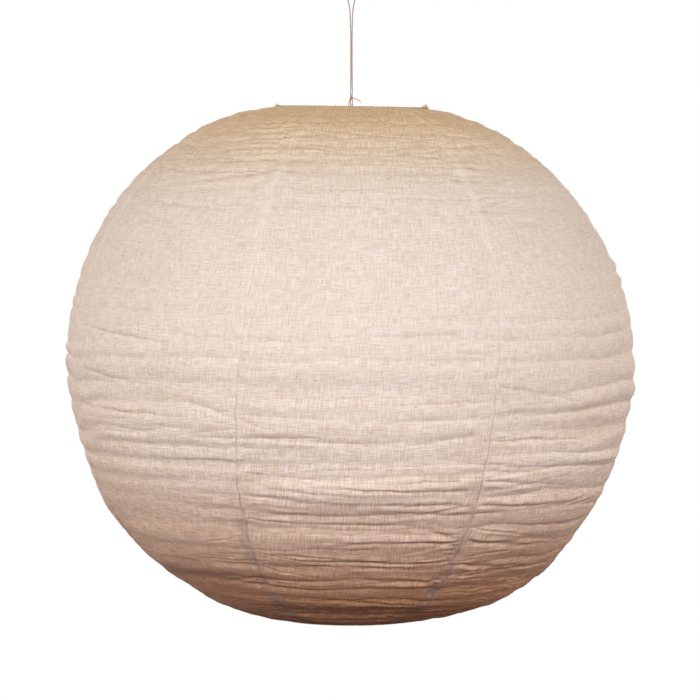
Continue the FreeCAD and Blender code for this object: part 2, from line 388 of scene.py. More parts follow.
def broad_relief(azimuth, angle):
    """Unevenness of the cloth wider than one belly."""
    share = height_share(angle)
    wide = 1.1 * lattice_noise(SEED + 4, 9, 11, azimuth, share)
    fine = 0.30 * lattice_noise(SEED + 5, 70, 120, azimuth, share)
    low = 0.45 * lattice_noise(SEED + 6, 21, 60, azimuth, share)
    lower = ramp(share, 0.42, 0.2)
    off_ring = ramp(share, 0.97, -0.1)
    waves = (0.5 + 3.0 * lower) * off_ring * lattice_noise(SEED + 11, 7, 23, azimuth, share)
    return (wide + fine + low + waves) * MM


def within_hoops(relief, azimuth, rise, share, seam_distance):
    """Relief eased off where the cloth or a seam's allowance would reach in past a hoop.

    The cloth leans further left than the hoops high up, so it has less room on the right there.
    """
    between = np.sin(math.pi * share * (HOOP_COUNT + 1)) ** 4
    deepest = DEPTH_AT_HOOP + (DEPTH_BETWEEN - DEPTH_AT_HOOP) * between
    deepest = deepest - 0.8 * MM * np.exp(-(seam_distance / (18 * MM)) ** 4)
    crowded = bump(rise / SHADE_HALF_HEIGHT, 0.67, 0.19)
    deepest = deepest - 3.0 * MM * crowded * np.clip(np.sin(azimuth), 0.0, 1.0)
    deepest = np.maximum(deepest, 0.25 * MM)
    return np.where(relief < 0, deepest * np.tanh(relief / deepest), relief)


def seam_relief(distance, height, puckers):
    """Low ridge of a seam with puckers along it, by distance from it in metres."""
    upper = ramp(height, 0.45, -0.15)
    line = -0.12 * bump(distance, 0, 0.9 * MM)
    ridge = (0.5 + 0.5 * upper) * bump(distance, 0, 4.6 * MM)
    pull = -np.exp(-distance / (15 * MM))
    ripple = (1.3 + 0.6 * upper) * puckers * np.exp(-distance / ((8 + 6 * upper) * MM))
    return (line + ridge + pull + ripple) * MM


# ---- mesh helpers ----

def link(item):
    """Put an object in the scene."""
    bpy.context.scene.collection.objects.link(item)


def new_mesh(name, points, faces):
    """A mesh of points and faces."""
    mesh = bpy.data.meshes.new(name)
    mesh.from_pydata(points, [], faces)
    mesh.update()
    return mesh


def add_piece(name, mesh, material):
    """Link a mesh into the scene as a smooth-shaded piece."""
    piece = bpy.data.objects.new(name, mesh)
    link(piece)
    mesh.materials.append(material)
    mesh.shade_smooth()
    return piece


def grid_faces(along, across, closed=False):
    """Quads through a grid of points numbered row by row, closed both ways or neither."""
    index = np.arange(along * across).reshape(along, across)
    if closed:
        index = np.concatenate([index, index[:, :1]], axis=1)
        index = np.concatenate([index, index[:1]], axis=0)
    faces = np.stack([index[:-1, :-1], index[1:, :-1], index[1:, 1:], index[:-1, 1:]], axis=-1)
    return faces.reshape(-1, 4)


def cloth_mesh(name, grids):
    """One mesh of several open grids, each (points, maps), the maps being UV maps by name."""
    points = []
    faces = []
    start = 0
    for grid, maps in grids:
        points.append(grid.reshape(-1, 3))
        faces.append(grid_faces(*grid.shape[:2]) + start)
        start += grid.shape[0] * grid.shape[1]
    points = np.concatenate(points)
    faces = np.concatenate(faces)
    mesh = new_mesh(name, points.tolist(), faces.tolist())
    for map_name in grids[0][1]:
        layer = mesh.uv_layers.new(name=map_name)
        values = np.concatenate([maps[map_name].reshape(-1, 2) for grid, maps in grids])
        layer.data.foreach_set("uv", values[faces.reshape(-1)].astype(np.float32).reshape(-1))
    return mesh


def path_frames(path):
    """Two directions across a path at each of its points, carried along without twist."""
    tangents = np.gradient(path, axis=0)
    tangents /= np.linalg.norm(tangents, axis=1)[:, None]
    normal = np.cross(tangents[0], [0.31, 0.87, 0.38])
    normals = []
    for tangent in tangents:
        normal = normal - tangent * np.dot(normal, tangent)
        normal = normal / np.linalg.norm(normal)
        normals.append(normal)
    normals = np.array(normals)
    return normals, np.cross(tangents, normals)


def tube_rings(path, radii, sides):
    """Rings of points round a path."""
    path = np.asarray(path, dtype=float)
    normals, across = path_frames(path)
    turn = np.linspace(0, FULL_TURN, sides, endpoint=False)
    reach = np.broadcast_to(radii, len(path))[:, None, None]
    circles = np.cos(turn)[None, :, None] * normals[:, None, :]
    circles = circles + np.sin(turn)[None, :, None] * across[:, None, :]
    return path[:, None, :] + reach * circles


class MeshParts:
    """Collects tubes into one mesh."""

    def __init__(self):
        self.points = []
        self.faces = []

    def add_tube(self, path, radii, sides):
        """Add a tube with flat ends."""
        rings = tube_rings(path, radii, sides)
        start = len(self.points)
        count = len(rings)
        self.points += rings.reshape(-1, 3).tolist()
        for step in range(count - 1):
            here = start + step * sides
            there = here + sides
            for side in range(sides):
                beside = (side + 1) % sides
                self.faces.append((here + side, here + beside, there + beside, there + side))
        self.faces.append(tuple(start + side for side in range(sides))[::-1])
        last = start + (count - 1) * sides
        self.faces.append(tuple(last + side for side in range(sides)))

    def mesh(self, name):
        """The collected mesh."""
        return new_mesh(name, self.points, self.faces)


# ---- materials ----

class Nodes:
    """A material's node tree with short calls."""

    def __init__(self, name, roughness):
        self.material = bpy.data.materials.new(name)
        self.material.use_nodes = True
        self.tree = self.material.node_tree
        self.shader = self.tree.nodes["Principled BSDF"]
        self.shader.inputs["Roughness"].default_value = roughness

    def add(self, kind, settings=None, **inputs):
        """Add a node; inputs are values or other nodes' output sockets.

        An input is called by its name, or by its place as i0, i1 and so on.
        """
        node = self.tree.nodes.new("ShaderNode" + kind)
        for key, value in (settings or {}).items():
            setattr(node, key, value)
        for key, value in inputs.items():
            self.feed(node.inputs[int(key[1:]) if key[1:].isdigit() else key], value)
        return node

    def feed(self, socket, value):
        """Link an output socket or set a plain value."""
        if isinstance(value, bpy.types.NodeSocket):
            self.tree.links.new(value, socket)
        else:
            socket.default_value = value

    def cloth_map(self, name):
        """One of the cloth's UV maps."""
        return self.add("UVMap", {"uv_map": name}).outputs["UV"]

    def place(self):
        """Coordinates that move with the piece."""
        return self.add("TexCoord").outputs["Object"]

    def part(self, source, axis):
        """One part of a vector."""
        return self.add("SeparateXYZ", None, Vector=source).outputs[axis]

    def scaled(self, source, x, y, z=1.0):
        """Coordinates stretched by a factor each way."""
        node = self.add("Mapping", None, Vector=source, Scale=(x, y, z))
        return node.outputs["Vector"]

    def noise(self, source, scale, detail, roughness):
        """Noise from 0 to 1 at a scale in waves per unit."""
        node = self.add("TexNoise", None, Vector=source, Scale=scale, Detail=detail, Roughness=roughness)
        return node.outputs["Fac"]

    def math(self, operation, first, second=0.0):
        """One arithmetic step."""
        node = self.add("Math", {"operation": operation}, i0=first, i1=second)
        return node.outputs["Value"]

    def times(self, first, second):
        """Two values multiplied."""
        return self.math("MULTIPLY", first, second)

    def spread(self, value, low, high, to_low=0.0, to_high=1.0):
        """A value brought from one range to another, clamped."""
        node = self.add("MapRange", None, i0=value, i1=low, i2=high, i3=to_low, i4=to_high)
        return node.outputs["Result"]

    def blend(self, share, first, second, mode="MIX"):
        """A mix of two colours."""
        node = self.add("Mix", {"data_type": "RGBA", "blend_type": mode})
        self.feed(node.inputs[0], share)
        self.feed(node.inputs[6], first)
        self.feed(node.inputs[7], second)
        return node.outputs[2]

    def finish(self, colour, height, distance, strength):
        """Connect colour and bump to the shader and return the material."""
        self.feed(self.shader.inputs["Base Color"], colour)
        bump = self.add("Bump", None, Height=height, Distance=distance, Strength=strength)
        self.feed(self.shader.inputs["Normal"], bump.outputs["Normal"])
        return self.material


LINEN = (0.84, 0.79, 0.76, 1.0)
LINEN_SHADE = (0.63, 0.485, 0.35, 1.0)
LINEN_LIGHT = (0.985, 0.955, 0.95, 1.0)
# painted shade for the upper half
PAINTED_UPPER_SHADE = (0.88, 0.905, 0.895, 1.0)
# painted shade where the seam allowance behind the cloth blocks light
PAINTED_ALLOWANCE_SHADE = (0.38, 0.29, 0.28, 1.0)
# painted shade in the folds; also the real brown of the seam line and its stitches
PAINTED_CREASE_SHADE_AND_SEAM_BROWN = (0.31, 0.175, 0.11, 1.0)
# painted warm light, a golden tint at the top
PAINTED_TOP_WARM_LIGHT = (0.88, 0.745, 0.51, 1.0)
# painted shade, darker and browner towards the bottom
PAINTED_LOWER_SHADE = (0.70, 0.44, 0.30, 1.0)
FLECK = (0.36, 0.22, 0.14, 1.0)

THREAD_HEIGHT = 0.72
SLUB_HEIGHT = 0.12
# seen from outside, the allowance lies beside the seam, shown as a band of painted shade, and ends in
# overlock stitches
ALLOWANCE_MIDDLE = 4.0 * MM
ALLOWANCE_EDGE = 9.5 * MM
STITCH_WAVE = 1150.0


def woven_height(nodes, weave):
    """Threads both ways with slubs, as a height of about 0.5 to 1.15."""
    warp = nodes.noise(nodes.scaled(weave, 780, 75), 1.0, 1.0, 0.6)
    weft = nodes.noise(nodes.scaled(weave, 68, 760), 1.0, 1.0, 0.6)
    warp_slub = nodes.noise(nodes.scaled(weave, 250, 16), 1.0, 1.0, 0.5)
    weft_slub = nodes.noise(nodes.scaled(weave, 13, 230), 1.0, 1.0, 0.5)
    threads = nodes.times(nodes.math("ADD", warp, weft), THREAD_HEIGHT)
    slubs = nodes.times(nodes.math("ADD", warp_slub, weft_slub), SLUB_HEIGHT)
    return nodes.math("ADD", threads, slubs)


def weave_colour(nodes, weave, texture, height):
    """Pale threads over darker gaps, plainer round the middle, clouded, flecked, and with bands of
    painted shade low down.
    """
    cloudy = nodes.noise(nodes.scaled(weave, 14, 24), 1.0, 3.0, 0.55)
    # painted shade in bands across the lower half
    shade_bands = nodes.noise(nodes.scaled(weave, 5, 30), 1.0, 2.0, 0.5)
    flecks = nodes.noise(nodes.scaled(weave, 300, 430), 1.0, 1.0, 0.4)
    colour = nodes.blend(nodes.spread(texture, 0.70, 0.98), LINEN_SHADE, LINEN_LIGHT)
    plainer = nodes.times(nodes.spread(height, 0.05, 0.22, 0.45, 1.0),
                          nodes.spread(height, 0.45, 0.85, 0.60, 0.10))
    colour = nodes.blend(plainer, colour, LINEN)
    # painted shade bands, only in the lower half
    band_shade = nodes.times(nodes.spread(shade_bands, 0.35, 0.65, 0.0, 0.24), nodes.spread(height, 0.45, 0.62))
    colour = nodes.blend(nodes.spread(cloudy, 0.35, 0.75, 0.0, 0.12), colour, LINEN_SHADE)
    colour = nodes.blend(band_shade, colour, LINEN_SHADE)
    return nodes.blend(nodes.spread(flecks, 0.69, 0.78, 0.0, 0.6), colour, FLECK)


def painted_height_light(nodes, colour, off_seam, height):
    """Painted light and shade by height: a painted highlight on the seams above, painted warm light at
    the top, and painted shade below and in the upper half.
    """
    # painted highlight along the raised seams in the upper half
    painted_seam_highlight = nodes.times(nodes.spread(off_seam, 1.5 * MM, 6.0 * MM, 0.3, 0.0),
                         nodes.spread(height, 0.3, 0.5, 1.0, 0.0))
    colour = nodes.blend(painted_seam_highlight, colour, LINEN_LIGHT)
    # painted warm light at the top
    colour = nodes.blend(nodes.spread(height, 0.06, 0.25, 1.0, 0.0), colour, PAINTED_TOP_WARM_LIGHT, "MULTIPLY")
    # painted shade over the lower part
    colour = nodes.blend(nodes.spread(height, 0.62, 0.85), colour, PAINTED_LOWER_SHADE, "MULTIPLY")
    # painted shade, darker in the upper half and fading out towards the top rim
    upper = nodes.times(nodes.spread(height, 0.0, 0.2, 0.35, 1.0),
                        nodes.spread(height, 0.32, 0.60, 1.0, 0.0))
    return nodes.blend(upper, colour, PAINTED_UPPER_SHADE, "MULTIPLY")


def seam_marks(nodes, colour, weave, side, height):
    """What shows of a seam low down: its line, painted shade where the allowance behind it blocks light,
    and the edge's stitches.
    """
    patchy = nodes.noise(nodes.scaled(weave, 60, 42), 1.0, 2.0, 0.55)
    low = nodes.spread(height, 0.62, 0.84, 0.0, 0.85)
    off_seam = nodes.math("ABSOLUTE", side)
    line = nodes.times(nodes.spread(off_seam, 0.4 * MM, 1.3 * MM, 0.45, 0.0),
                       nodes.spread(height, 0.45, 0.62))
    line = nodes.times(line, nodes.spread(patchy, 0.35, 0.55))
    colour = nodes.blend(line, colour, PAINTED_CREASE_SHADE_AND_SEAM_BROWN)

    # painted shade of the allowance behind the seam, patchy and only low down
    from_middle = nodes.math("ABSOLUTE", nodes.math("ADD", side, ALLOWANCE_MIDDLE))
    allowance = nodes.spread(from_middle, 4.0 * MM, 9.0 * MM, 1.0, 0.0)
    allowance_shade_showing = nodes.times(low, nodes.spread(patchy, 0.42, 0.58, 0.15, 1.0))
    colour = nodes.blend(nodes.times(allowance, allowance_shade_showing), colour, PAINTED_ALLOWANCE_SHADE)

    from_edge = nodes.math("ABSOLUTE", nodes.math("ADD", side, ALLOWANCE_EDGE))
    on_line = nodes.spread(from_edge, 0.5 * MM, 1.3 * MM, 1.0, 0.0)
    wave = nodes.math("SINE", nodes.times(nodes.part(weave, "Y"), STITCH_WAVE))
    dotted = nodes.times(on_line, nodes.spread(wave, -0.1, 0.6))
    return nodes.blend(nodes.times(dotted, nodes.times(low, 0.8)), colour, PAINTED_CREASE_SHADE_AND_SEAM_BROWN)


def paint_crease_shade(nodes, colour, folded, texture, height):
    """Painted shade in the folds, brown, with an edge roughened by the threads."""
    rough_edge = nodes.times(folded, nodes.spread(texture, 0.55, 1.15, 1.15, 0.45))
    depth = nodes.times(rough_edge, nodes.spread(height, 0.15, 0.5, 0.42, 0.78))
    # painted shade in the fold valleys, stronger lower down
    return nodes.blend(depth, colour, PAINTED_CREASE_SHADE_AND_SEAM_BROWN)


def linen_material():
    """Plain-woven linen: slubby threads both ways, flecks, and painted light and shade: in the folds, by
    height, in bands, and where the allowance behind each seam blocks light.

    The map "weave" holds metres along the cloth's two thread directions, "seam" the
    distance from the nearest seam and the height share, and "crease" the depth of folds.
    """
    nodes = Nodes("linen_cloth", 0.9)
    nodes.shader.inputs["Sheen Weight"].default_value = 0.08
    nodes.shader.inputs["Sheen Roughness"].default_value = 0.5
    nodes.shader.inputs["Specular IOR Level"].default_value = 0.12
    weave = nodes.cloth_map("weave")
    seam = nodes.cloth_map("seam")
    side = nodes.part(seam, "X")
    height = nodes.part(seam, "Y")
    texture = woven_height(nodes, weave)
    colour = weave_colour(nodes, weave, texture, height)
    colour = painted_height_light(nodes, colour, nodes.math("ABSOLUTE", side), height)
    colour = seam_marks(nodes, colour, weave, side, height)
    colour = paint_crease_shade(nodes, colour, nodes.part(nodes.cloth_map("crease"), "X"), texture, height)
    return nodes.finish(colour, texture, 0.0004, 0.7)


def binding_material():
    """Linen folded double and stitched round the rings."""
    nodes = Nodes("linen_binding", 0.9)
    place = nodes.place()
    fine = nodes.noise(place, 900.0, 3.0, 0.6)
    wide = nodes.noise(place, 60.0, 3.0, 0.6)
    colour = nodes.blend(nodes.spread(fine, 0.3, 0.75), (0.42, 0.29, 0.18, 1), (0.70, 0.53, 0.37, 1))
    colour = nodes.blend(nodes.spread(wide, 0.4, 0.8, 0.0, 0.35), colour, LINEN_SHADE)
    return nodes.finish(colour, fine, 0.0004, 0.9)


def twine_material():
    """Natural grey-brown fibre, twisted."""
    nodes = Nodes("twine_fibre", 0.85)
    place = nodes.place()
    fine = nodes.noise(nodes.scaled(place, 1.0, 1.0, 0.35), 2600.0, 3.0, 0.6)
    wide = nodes.noise(place, 160.0, 2.0, 0.5)
    colour = nodes.blend(nodes.spread(fine, 0.3, 0.75), (0.26, 0.17, 0.12, 1), (0.58, 0.45, 0.36, 1))
    colour = nodes.blend(nodes.spread(wide, 0.35, 0.75, 0.0, 0.4), colour, (0.66, 0.54, 0.45, 1))
    return nodes.finish(colour, fine, 0.0002, 0.9)


def thread_material(name, dark, pale):
    """Cotton thread between two colours."""
    nodes = Nodes(name, 0.8)
    place = nodes.place()
    fine = nodes.noise(place, 2200.0, 2.0, 0.6)
    colour = nodes.blend(nodes.spread(fine, 0.3, 0.75), dark, pale)
    return nodes.finish(colour, fine, 0.0001, 0.8)


def bamboo_material():
    """Split bamboo, pale straw with long fibres."""
    nodes = Nodes("split_bamboo", 0.55)
    place = nodes.place()
    fibre = nodes.noise(nodes.scaled(place, 40, 40, 2200), 1.0, 3.0, 0.6)
    blotch = nodes.noise(place, 22.0, 3.0, 0.6)
    colour = nodes.blend(nodes.spread(fibre, 0.3, 0.75), (0.42, 0.28, 0.13, 1), (0.72, 0.56, 0.34, 1))
    colour = nodes.blend(nodes.spread(blotch, 0.45, 0.75, 0.0, 0.45), colour, (0.33, 0.20, 0.09, 1))
    return nodes.finish(colour, fibre, 0.0002, 0.7)


def wire_material():
    """Off-white coated steel wire with a few worn spots."""
    nodes = Nodes("coated_wire", 0.42)
    place = nodes.place()
    wear = nodes.noise(place, 240.0, 4.0, 0.65)
    dirt = nodes.noise(place, 70.0, 2.0, 0.5)
    colour = nodes.blend(nodes.spread(dirt, 0.3, 0.8), (0.78, 0.75, 0.69, 1), (0.62, 0.58, 0.50, 1))
    colour = nodes.blend(nodes.spread(wear, 0.66, 0.72), colour, (0.30, 0.29, 0.28, 1))
    rough = nodes.spread(wear, 0.3, 0.8, 0.32, 0.6)
    nodes.feed(nodes.shader.inputs["Roughness"], rough)
    return nodes.finish(colour, wear, 0.0001, 0.5)


linen = linen_material()
binding_cloth = binding_material()
twine_fibre = twine_material()
loose_thread = thread_material("loose_thread", (0.44, 0.31, 0.25, 1), (0.80, 0.66, 0.58, 1))
sewing_thread = thread_material("sewing_thread", (0.22, 0.13, 0.075, 1), (0.44, 0.29, 0.18, 1))
bamboo = bamboo_material()
wire = wire_material()

# ---- gores ----

FOLDS = make_folds()


def column_shares():
    """Places of a gore's columns from seam to seam, closer together beside the seams."""
    edge = np.array([0.0, 0.0035, 0.008, 0.014, 0.022])
    middle = np.linspace(0.032, 0.968, GORE_COLUMNS - 9)
    return np.concatenate([edge, middle, 1.0 - edge[::-1]])


def form_shift(azimuth, rise):
    """Sideways lean and rim tilt of the hanging shade, in metres."""
    share = rise / SHADE_HALF_HEIGHT
    lean = -5.9 * bump(share, 0.68, 0.26) - 1.6 * bump(share, 0.05, 0.5)
    lean = lean + 2.4 * ramp(share, -0.35, -0.35)
    tilt = (-1.3 * ramp(share, 0.6, 0.35) - 1.2 * bump(share, 0.9, 0.06)) * np.sin(azimuth)
    return lean * MM, tilt * MM


def shade_surface(azimuth, angle, seam_distance, puckers, depth):
    """Points a depth under the cloth's outer face, and how creased the cloth is at each."""
    radius, rise = outline(angle)
    out, up = outline_normal(angle)
    share = height_share(angle)
    arc_scale = 1.0 / np.clip(out, 0.32, 1.0)
    relief, crease = fold_relief(FOLDS, azimuth, rise, arc_scale)
    off_seam = 1.0 - 0.65 * bump(seam_distance, 0, 4.0 * MM)
    relief = (relief + belly_relief(azimuth, angle, rise)) * off_seam
    relief += broad_relief(azimuth, angle) + profile_relief(azimuth, rise)
    relief += seam_relief(seam_distance, share, puckers)
    relief = within_hoops(relief, azimuth, rise, share, seam_distance)
    hold = ramp(np.abs(angle), RIM_ANGLE, -HELD_ANGLE)
    relief = relief * hold - RIM_SINK * (1 - hold) - depth
    lean, tilt = form_shift(azimuth, rise)
    wide = radius + relief * out
    x = wide * np.sin(azimuth) + lean * hold
    y = -wide * np.cos(azimuth)
    z = MIDDLE_Z + rise + relief * up + tilt
    return np.stack([x, y, z], axis=-1), crease * off_seam


def arc_lengths(angles):
    """Distance down the outline from the first of the angles to each."""
    radii, rises = outline(angles)
    return np.concatenate([[0.0], np.cumsum(np.hypot(np.diff(radii), np.diff(rises)))])


def seam_puckers(number, height):
    """Noise along one seam, shared by the two gores sewn there."""
    seed = SEAM_SEED + number % GORE_COUNT
    return lattice_noise(seed, 5, 62, np.zeros_like(height), height)


def seam_wander(number, height):
    """How far a seam strays sideways along its length, in metres."""
    seed = SEAM_SEED + 50 + number % GORE_COUNT
    along = np.zeros_like(height)
    slow = 1.5 * lattice_noise(seed, 5, 26, along, height)
    quick = 0.8 * lattice_noise(seed + 10, 5, 70, along, height)
    return (slow + quick) * MM


def cloth_grid(number, angles, shares, depth=0.0):
    """Points and maps of a part of a gore, over rows of angles and columns of shares."""
    angle, share = np.meshgrid(angles, shares, indexing="ij")
    radius, rise = outline(angle)
    width = FULL_TURN / GORE_COUNT
    height = height_share(angle)
    start = seam_azimuth(number - 1, rise) + seam_wander(number - 1, height) / radius
    end = seam_azimuth(number, rise) + seam_wander(number, height) / radius
    azimuth = start + (end - start) * share
    left_half = share < 0.5
    seam_distance = np.minimum(share, 1 - share) * width * radius
    puckers = np.where(left_half, seam_puckers(number - 1, height), seam_puckers(number, height))
    points, crease = shade_surface(azimuth, angle, seam_distance, puckers, depth)
    across = (share - 0.5) * width * radius + 0.7 * number
    down = np.tile(arc_lengths(angles)[:, None], (1, shares.size))
    maps = {
        "weave": np.stack([across, down], axis=-1),
        "seam": np.stack([np.where(left_half, seam_distance, -seam_distance), height], axis=-1),
        "crease": np.stack([crease, height], axis=-1),
    }
    return points, maps


def make_gore(number):
    """One cloth panel with its allowance inside, its flat size and its area."""
    angles = row_angles(GORE_ROWS)
    panel = cloth_grid(number, angles, column_shares())
    inside = angles[np.abs(angles) < ALLOWANCE_END]
    strip = cloth_grid(number, inside, ALLOWANCE_SHARES, ALLOWANCE_DEPTH)
    name = f"gore_cloth_{number}"
    piece = add_piece(name, cloth_mesh(name, [panel, strip]), linen)
    thicken(piece, CLOTH)
    widths = outline(angles)[0] * FULL_TURN / GORE_COUNT
    arc = arc_lengths(angles)
    return piece, (float(widths.max()), float(arc[-1])), float(np.trapz(widths, arc))


def thicken(piece, thickness):
    """Give a sheet its thickness on the inner side."""
    solid = piece.modifiers.new("thickness", "SOLIDIFY")
    solid.thickness = thickness
    solid.offset = -1.0
    solid.use_rim = True


def fold_with_shade(piece):
    """Ride on the upper ring's body."""
    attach(piece, "shade")
    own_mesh(piece)


def make_shade():
    """All gores."""
    for number in range(1, GORE_COUNT + 1):
        piece, flat, area = make_gore(number)
        fold_with_shade(piece)
        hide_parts(f"gore_{number}")


# ---- rim bindings ----

RIM_TILT = -1.1 * MM
RIM_STITCHES = 112
HOOK_COVER = 2.9 * MM
STITCH_REACH = 1.15 * MM
STITCH_RADIUS = 0.17 * MM
STITCH_LEAN = 1.8 * MM


def make_binding(name, ring_z, body, node, tilted):
    """Cloth rolled round an end ring, gathered and stitched."""
    around = 420
    section = 18
    turn = np.linspace(0, FULL_TURN, around, endpoint=False)
    roll = np.linspace(0, FULL_TURN, section, endpoint=False)
    azimuth, part = np.meshgrid(turn, roll, indexing="ij")
    gathers = lattice_noise(SEED + 40, 160, 2, azimuth, np.full_like(azimuth, 0.3))
    swell = lattice_noise(SEED + 41, 38, 2, azimuth, np.full_like(azimuth, 0.3))
    sleeve = 0.95 * MM - (0.45 * MM * np.sin(azimuth) if tilted else 0.0)
    thick = RING_WIRE / 2 + sleeve + (0.18 * gathers + 0.15 * swell) * MM
    if tilted:
        from_hook = np.cos(azimuth) * RING_RADIUS
        over_hook = RING_WIRE / 2 + HOOK_COVER
        thick = thick + (over_hook - thick) * np.exp(-(from_hook / (3.2 * MM)) ** 4)
    radius = RING_RADIUS + thick * np.cos(part)
    tilt = 0.6 * RIM_TILT * np.sin(azimuth) if tilted else 0.0
    z = ring_z + thick * np.sin(part) + tilt
    points = np.stack([radius * np.sin(azimuth), -radius * np.cos(azimuth), z], axis=-1)
    faces = grid_faces(around, section, closed=True)
    mesh = new_mesh(name, points.reshape(-1, 3).tolist(), faces.tolist())
    piece = add_piece(name, mesh, binding_cloth)
    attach(piece, body)
    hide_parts(node)


# ---- twine ----

TWINE = 1.35 * MM
STRAND_HALF = 0.62 * MM
KNOT_TOP = RIM_Z + 13.5 * MM
CAD_TWINE = 1.2 * MM
LOOP_TOP = -CAD_TWINE / 2
PLIES = 3
PLY_PITCH = 3.6 * MM
PLY_STEP = 0.3 * MM
PLY_OFFSET = 0.23
PLY_RADIUS = 0.27

TWINE_POINTS = [
    (-STRAND_HALF, 0, KNOT_TOP),
    (-1.5 * STRAND_HALF, 0, KNOT_TOP + 4.0 * MM),
    (-STRAND_HALF, 0, KNOT_TOP + 11.0 * MM),
    (-STRAND_HALF, 0, -26.0 * MM),
    (-4.4 * MM, 0, -11.0 * MM),
    (-4.4 * MM, 0, LOOP_TOP),
    (4.4 * MM, 0, LOOP_TOP),
    (4.4 * MM, 0, -11.0 * MM),
    (STRAND_HALF, 0, -26.0 * MM),
    (STRAND_HALF, 0, KNOT_TOP + 13.0 * MM),
    (2.0 * STRAND_HALF, 0, KNOT_TOP + 5.0 * MM),
    (STRAND_HALF, 0, KNOT_TOP),
]


def route_spline(name, points, steps):
    """Points along a smooth open spline whose control points are the route's."""
    curve = bpy.data.curves.new(name, "CURVE")
    curve.dimensions = "3D"
    curve.resolution_u = steps
    spline = curve.splines.new("NURBS")
    spline.points.add(len(points) - 1)
    for control, place in zip(spline.points, points):
        control.co = (*place, 1.0)
    spline.order_u = 3
    spline.use_endpoint_u = True
    holder = bpy.data.objects.new(name, curve)
    mesh = bpy.data.meshes.new_from_object(holder)
    path = np.array([vertex.co[:] for vertex in mesh.vertices])
    bpy.data.objects.remove(holder)
    bpy.data.meshes.remove(mesh)
    bpy.data.curves.remove(curve)
    return path


def even_path(path, spacing):
    """A path's points at even spacing."""
    steps = np.linalg.norm(np.diff(path, axis=0), axis=1)
    along = np.concatenate([[0.0], np.cumsum(steps)])
    count = max(4, int(along[-1] / spacing) + 1)
    wanted = np.linspace(0.0, along[-1], count)
    return np.stack([np.interp(wanted, along, path[:, axis]) for axis in range(3)], axis=1)


def twist_strands(parts, path, thickness):
    """Add a laid twine along a path: plies wound round each other."""
    path = even_path(path, PLY_STEP)
    side, up = path_frames(path)
    along = np.arange(len(path)) * PLY_STEP
    for ply in range(PLIES):
        phase = FULL_TURN * (along / PLY_PITCH + ply / PLIES)
        offset = np.cos(phase)[:, None] * side + np.sin(phase)[:, None] * up
        strand = path + offset * thickness * PLY_OFFSET
        swell = 1.0 + 0.12 * np.sin(along / (2.3 * MM) + 2.1 * ply)
        parts.add_tube(strand, thickness * PLY_RADIUS * swell, 7)


def make_twine():
    """The doubled twine that carries the lantern."""
    path = route_spline("twine_route", TWINE_POINTS, 40)
    parts = MeshParts()
    twist_strands(parts, path, TWINE)
    piece = add_piece("twine_strands", parts.mesh("twine_strands"), twine_fibre)
    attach(piece, "twine")
    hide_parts("hanging_twine")
    return piece, path


def knot_path(name, points, knot_middle):
    """Smooth path through points given in mm from the knot's middle."""
    return route_spline(name, [(x * MM, y * MM, knot_middle + z * MM) for x, y, z in points], 14)


def make_knot():
    """Pulled-down knot, the two legs to the hitch through the eye, and the cut tails."""
    knot_middle = KNOT_TOP - 2.3 * MM
    hitch_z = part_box("twine_knot")[0][2] + 2.6 * MM
    parts = MeshParts()
    turn = np.radians(np.linspace(0, 360, 49))
    for level, wide, lean in ((-0.9, 0.95, 0.6), (0.1, 1.15, -0.7), (1.1, 0.9, 0.6)):
        ring = np.stack([wide * MM * np.cos(turn), 0.8 * wide * MM * np.sin(turn),
                         knot_middle + level * MM + lean * MM * np.cos(turn)], axis=1)
        twist_strands(parts, ring, 1.15 * MM)
    hitch_radius = 2.0 * MM
    hitch = np.stack([np.zeros_like(turn), hitch_radius * np.cos(turn),
                      hitch_z + hitch_radius * np.sin(turn)], axis=1)
    twist_strands(parts, hitch, TWINE)
    for side in (-1, 1):
        leg = [(0.7 * side, 0.4 * side, 2.4), (0.7 * side, 0.4 * side, 0.0),
               (1.3 * side, 0.9 * side, -5.0), (0.3 * side, 2.0 * side, -11.2)]
        twist_strands(parts, knot_path(f"leg_{side}", leg, knot_middle), TWINE)
    right = [(0.6, -0.9, 1.0), (3.4, -1.4, 0.2), (6.6, -1.7, -1.5), (9.6, -2.0, -3.4)]
    left = [(-0.4, -0.9, 1.6), (-1.8, -1.5, -1.6), (-2.8, -1.8, -5.0), (-3.2, -1.8, -9.0)]
    for number, tail in enumerate((right, left)):
        path = knot_path(f"tail_{number}", tail, knot_middle)
        twist_strands(parts, path, 1.1 * MM)
        add_frayed_end(parts, path[-1], number)
    piece = add_piece("twine_knot_wraps", parts.mesh("twine_knot_wraps"), twine_fibre)
    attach(piece, "knot")
    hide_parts("twine_knot")
    return piece


def add_frayed_end(parts, tip, seed):
    """A few loose fibres at a cut end."""
    rng = np.random.default_rng(SEED + 60 + seed)
    for fibre in range(6):
        start = np.array(tip) + rng.normal(0, 0.15, 3) * MM
        drift = np.array([rng.uniform(-0.3, 0.6), rng.uniform(-0.5, 0.3), rng.uniform(-0.9, -0.1)])
        bend = rng.normal(0, 0.5, 3)
        steps = np.linspace(0, 1, 6)[:, None]
        path = start + (drift * steps + bend * steps ** 2 * 0.4) * 1.6 * MM
        parts.add_tube(path, 0.06 * MM, 4)


# ---- threads at the rims ----

